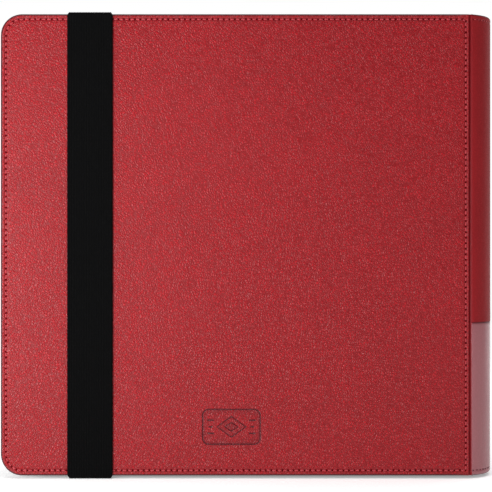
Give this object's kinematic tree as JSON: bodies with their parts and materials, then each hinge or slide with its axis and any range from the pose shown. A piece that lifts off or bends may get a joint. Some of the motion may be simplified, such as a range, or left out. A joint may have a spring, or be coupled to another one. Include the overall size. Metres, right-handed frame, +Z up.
{
  "type": "trading card binder",
  "caption": "Square portfolio with two stitched padded covers, a rounded two-tone spine, a fan of bound pocket leaves and a wide elastic strap round it near the fore-edge.",
  "frame": {"origin": "on the surface the binder stands on, under the middle of the whole object, strap included", "axes": "+X from the fore-edge to the spine, -Y out of the front cover, +Z up along the spine"},
  "size_m": [0.3484, 0.0494, 0.3284],
  "materials": {
    "red_leather": "satin, fine pebble grain",
    "mauve_leather": "satin, fine pebble grain",
    "thread": "matt twisted thread",
    "elastic": "matt ribbed weave",
    "lining": "matt microfibre",
    "board": "matt",
    "pocket_film": "glossy clear film over a dark inner sheet"
  },
  "bodies": {
    "spine": {"spine_board": "board", "spine_upper_skin": "red_leather", "spine_lower_band": "mauve_leather", "spine_lining": "lining", "spine_top_thread": "thread", "spine_foot_thread": "thread", "front_crease_strip": "red_leather", "rear_crease_strip": "red_leather", "leaf_tab_block": "lining", "binding_strip": "board"},
    "front_cover": {"front_cover_skin": "red_leather", "front_cover_board": "board", "front_cover_lining": "lining", "front_cover_thread": "thread"},
    "rear_cover": {"rear_cover_skin": "red_leather", "rear_cover_board": "board", "rear_cover_lining": "lining", "rear_cover_thread": "thread", "strap_tail_top": "elastic", "strap_tail_bottom": "elastic"},
    "strap": {"strap": "elastic"},
    "leaf_01": {"leaf_01": "pocket_film"},
    "leaf_02": {"leaf_02": "pocket_film"},
    "leaf_03": {"leaf_03": "pocket_film"},
    "leaf_04": {"leaf_04": "pocket_film"},
    "leaf_05": {"leaf_05": "pocket_film"},
    "leaf_06": {"leaf_06": "pocket_film"},
    "leaf_07": {"leaf_07": "pocket_film"},
    "leaf_08": {"leaf_08": "pocket_film"},
    "leaf_09": {"leaf_09": "pocket_film"},
    "leaf_10": {"leaf_10": "pocket_film"},
    "leaf_11": {"leaf_11": "pocket_film"},
    "leaf_12": {"leaf_12": "pocket_film"},
    "leaf_13": {"leaf_13": "pocket_film"},
    "leaf_14": {"leaf_14": "pocket_film"},
    "leaf_15": {"leaf_15": "pocket_film"},
    "leaf_16": {"leaf_16": "pocket_film"},
    "leaf_17": {"leaf_17": "pocket_film"},
    "leaf_18": {"leaf_18": "pocket_film"},
    "leaf_19": {"leaf_19": "pocket_film"},
    "leaf_20": {"leaf_20": "pocket_film"}
  },
  "joints": [
    {"name": "front_cover_hinge", "type": "hinge", "parent": "spine", "child": "front_cover", "pos_m": [0.1565, -0.0229, 0.002], "axis": [0, 0, 1], "range_deg": [0, 90]},
    {"name": "rear_cover_hinge", "type": "hinge", "parent": "spine", "child": "rear_cover", "pos_m": [0.1565, 0.0243, 0.002], "axis": [0, 0, 1], "range_deg": [-90, 0]},
    {"name": "strap_swing", "type": "hinge", "parent": "rear_cover", "child": "strap", "pos_m": [-0.1112, 0.0007, 0.002], "axis": [0, 0, 1], "range_deg": [-180, 0], "deforming": ["strap"]},
    {"name": "leaf_01_hinge", "type": "hinge", "parent": "spine", "child": "leaf_01", "pos_m": [0.1515, -0.0183, 0.002], "axis": [0, 0, 1], "range_deg": [0, 72]},
    {"name": "leaf_02_hinge", "type": "hinge", "parent": "spine", "child": "leaf_02", "pos_m": [0.1515, -0.0163, 0.002], "axis": [0, 0, 1], "range_deg": [0, 64.42]},
    {"name": "leaf_03_hinge", "type": "hinge", "parent": "spine", "child": "leaf_03", "pos_m": [0.1515, -0.0143, 0.002], "axis": [0, 0, 1], "range_deg": [0, 56.84]},
    {"name": "leaf_04_hinge", "type": "hinge", "parent": "spine", "child": "leaf_04", "pos_m": [0.1515, -0.0123, 0.002], "axis": [0, 0, 1], "range_deg": [0, 49.26]},
    {"name": "leaf_05_hinge", "type": "hinge", "parent": "spine", "child": "leaf_05", "pos_m": [0.1515, -0.0103, 0.002], "axis": [0, 0, 1], "range_deg": [0, 41.68]},
    {"name": "leaf_06_hinge", "type": "hinge", "parent": "spine", "child": "leaf_06", "pos_m": [0.1515, -0.0083, 0.002], "axis": [0, 0, 1], "range_deg": [0, 34.11]},
    {"name": "leaf_07_hinge", "type": "hinge", "parent": "spine", "child": "leaf_07", "pos_m": [0.1515, -0.0063, 0.002], "axis": [0, 0, 1], "range_deg": [0, 26.53]},
    {"name": "leaf_08_hinge", "type": "hinge", "parent": "spine", "child": "leaf_08", "pos_m": [0.1515, -0.0043, 0.002], "axis": [0, 0, 1], "range_deg": [0, 18.95]},
    {"name": "leaf_09_hinge", "type": "hinge", "parent": "spine", "child": "leaf_09", "pos_m": [0.1515, -0.0023, 0.002], "axis": [0, 0, 1], "range_deg": [0, 11.37]},
    {"name": "leaf_10_hinge", "type": "hinge", "parent": "spine", "child": "leaf_10", "pos_m": [0.1515, -0.0003, 0.002], "axis": [0, 0, 1], "range_deg": [0, 3.79]},
    {"name": "leaf_11_hinge", "type": "hinge", "parent": "spine", "child": "leaf_11", "pos_m": [0.1515, 0.0017, 0.002], "axis": [0, 0, 1], "range_deg": [-3.79, 0]},
    {"name": "leaf_12_hinge", "type": "hinge", "parent": "spine", "child": "leaf_12", "pos_m": [0.1515, 0.0037, 0.002], "axis": [0, 0, 1], "range_deg": [-11.37, 0]},
    {"name": "leaf_13_hinge", "type": "hinge", "parent": "spine", "child": "leaf_13", "pos_m": [0.1515, 0.0057, 0.002], "axis": [0, 0, 1], "range_deg": [-18.95, 0]},
    {"name": "leaf_14_hinge", "type": "hinge", "parent": "spine", "child": "leaf_14", "pos_m": [0.1515, 0.0077, 0.002], "axis": [0, 0, 1], "range_deg": [-26.53, 0]},
    {"name": "leaf_15_hinge", "type": "hinge", "parent": "spine", "child": "leaf_15", "pos_m": [0.1515, 0.0097, 0.002], "axis": [0, 0, 1], "range_deg": [-34.11, 0]},
    {"name": "leaf_16_hinge", "type": "hinge", "parent": "spine", "child": "leaf_16", "pos_m": [0.1515, 0.0117, 0.002], "axis": [0, 0, 1], "range_deg": [-41.68, 0]},
    {"name": "leaf_17_hinge", "type": "hinge", "parent": "spine", "child": "leaf_17", "pos_m": [0.1515, 0.0137, 0.002], "axis": [0, 0, 1], "range_deg": [-49.26, 0]},
    {"name": "leaf_18_hinge", "type": "hinge", "parent": "spine", "child": "leaf_18", "pos_m": [0.1515, 0.0157, 0.002], "axis": [0, 0, 1], "range_deg": [-56.84, 0]},
    {"name": "leaf_19_hinge", "type": "hinge", "parent": "spine", "child": "leaf_19", "pos_m": [0.1515, 0.0177, 0.002], "axis": [0, 0, 1], "range_deg": [-64.42, 0]},
    {"name": "leaf_20_hinge", "type": "hinge", "parent": "spine", "child": "leaf_20", "pos_m": [0.1515, 0.0197, 0.002], "axis": [0, 0, 1], "range_deg": [-72, 0]}
  ],
  "couplings": [
    {"joint": "rear_cover_hinge", "follows": "front_cover_hinge", "ratio": -1},
    {"joint": "strap_swing", "follows": "front_cover_hinge", "ratio": -2},
    {"joint": "leaf_01_hinge", "follows": "front_cover_hinge", "ratio": 0.8},
    {"joint": "leaf_02_hinge", "follows": "front_cover_hinge", "ratio": 0.71579},
    {"joint": "leaf_03_hinge", "follows": "front_cover_hinge", "ratio": 0.63158},
    {"joint": "leaf_04_hinge", "follows": "front_cover_hinge", "ratio": 0.54737},
    {"joint": "leaf_05_hinge", "follows": "front_cover_hinge", "ratio": 0.46316},
    {"joint": "leaf_06_hinge", "follows": "front_cover_hinge", "ratio": 0.37895},
    {"joint": "leaf_07_hinge", "follows": "front_cover_hinge", "ratio": 0.29474},
    {"joint": "leaf_08_hinge", "follows": "front_cover_hinge", "ratio": 0.21053},
    {"joint": "leaf_09_hinge", "follows": "front_cover_hinge", "ratio": 0.12632},
    {"joint": "leaf_10_hinge", "follows": "front_cover_hinge", "ratio": 0.042105},
    {"joint": "leaf_11_hinge", "follows": "front_cover_hinge", "ratio": -0.042105},
    {"joint": "leaf_12_hinge", "follows": "front_cover_hinge", "ratio": -0.12632},
    {"joint": "leaf_13_hinge", "follows": "front_cover_hinge", "ratio": -0.21053},
    {"joint": "leaf_14_hinge", "follows": "front_cover_hinge", "ratio": -0.29474},
    {"joint": "leaf_15_hinge", "follows": "front_cover_hinge", "ratio": -0.37895},
    {"joint": "leaf_16_hinge", "follows": "front_cover_hinge", "ratio": -0.46316},
    {"joint": "leaf_17_hinge", "follows": "front_cover_hinge", "ratio": -0.54737},
    {"joint": "leaf_18_hinge", "follows": "front_cover_hinge", "ratio": -0.63158},
    {"joint": "leaf_19_hinge", "follows": "front_cover_hinge", "ratio": -0.71579},
    {"joint": "leaf_20_hinge", "follows": "front_cover_hinge", "ratio": -0.8}
  ]
}
